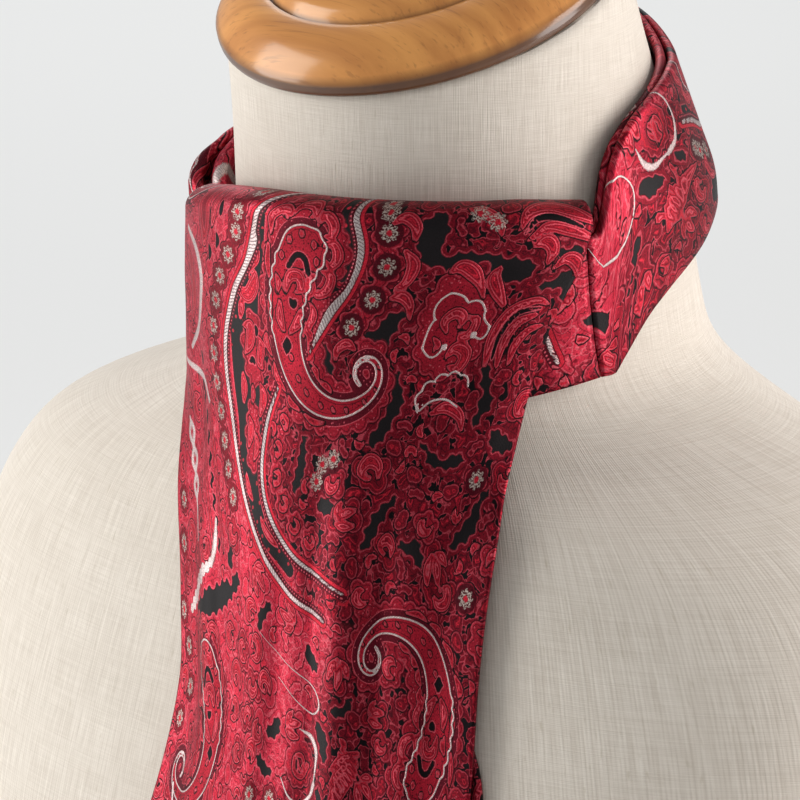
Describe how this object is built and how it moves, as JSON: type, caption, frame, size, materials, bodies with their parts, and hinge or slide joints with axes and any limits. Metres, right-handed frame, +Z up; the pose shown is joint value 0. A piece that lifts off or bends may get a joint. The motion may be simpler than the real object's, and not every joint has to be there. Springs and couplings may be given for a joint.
{
  "type": "silk cravat on a dress form",
  "caption": "Red paisley silk cravat tied round the neck of a limbless linen-covered dress form with a turned wooden neck cap; the wide blade rolls over at the throat and hangs to a point.",
  "frame": {"origin": "middle of the form's flat underside", "axes": "+Z up; the wearer faces -Y; the wearer's left is +X"},
  "size_m": [0.366, 0.2319, 0.6717],
  "materials": {
    "silk": "red silk jacquard with a woven paisley pattern, soft satin sheen",
    "linen": "natural linen, plain weave, matte",
    "wood": "turned beech, clear varnish, warm orange-brown"
  },
  "bodies": {
    "root": {"torso": "linen", "neck_cap": "wood", "neckband": "silk", "left_stretch": "silk", "right_stretch": "silk", "over_blade": "silk", "under_blade": "silk"}
  },
  "joints": []
}
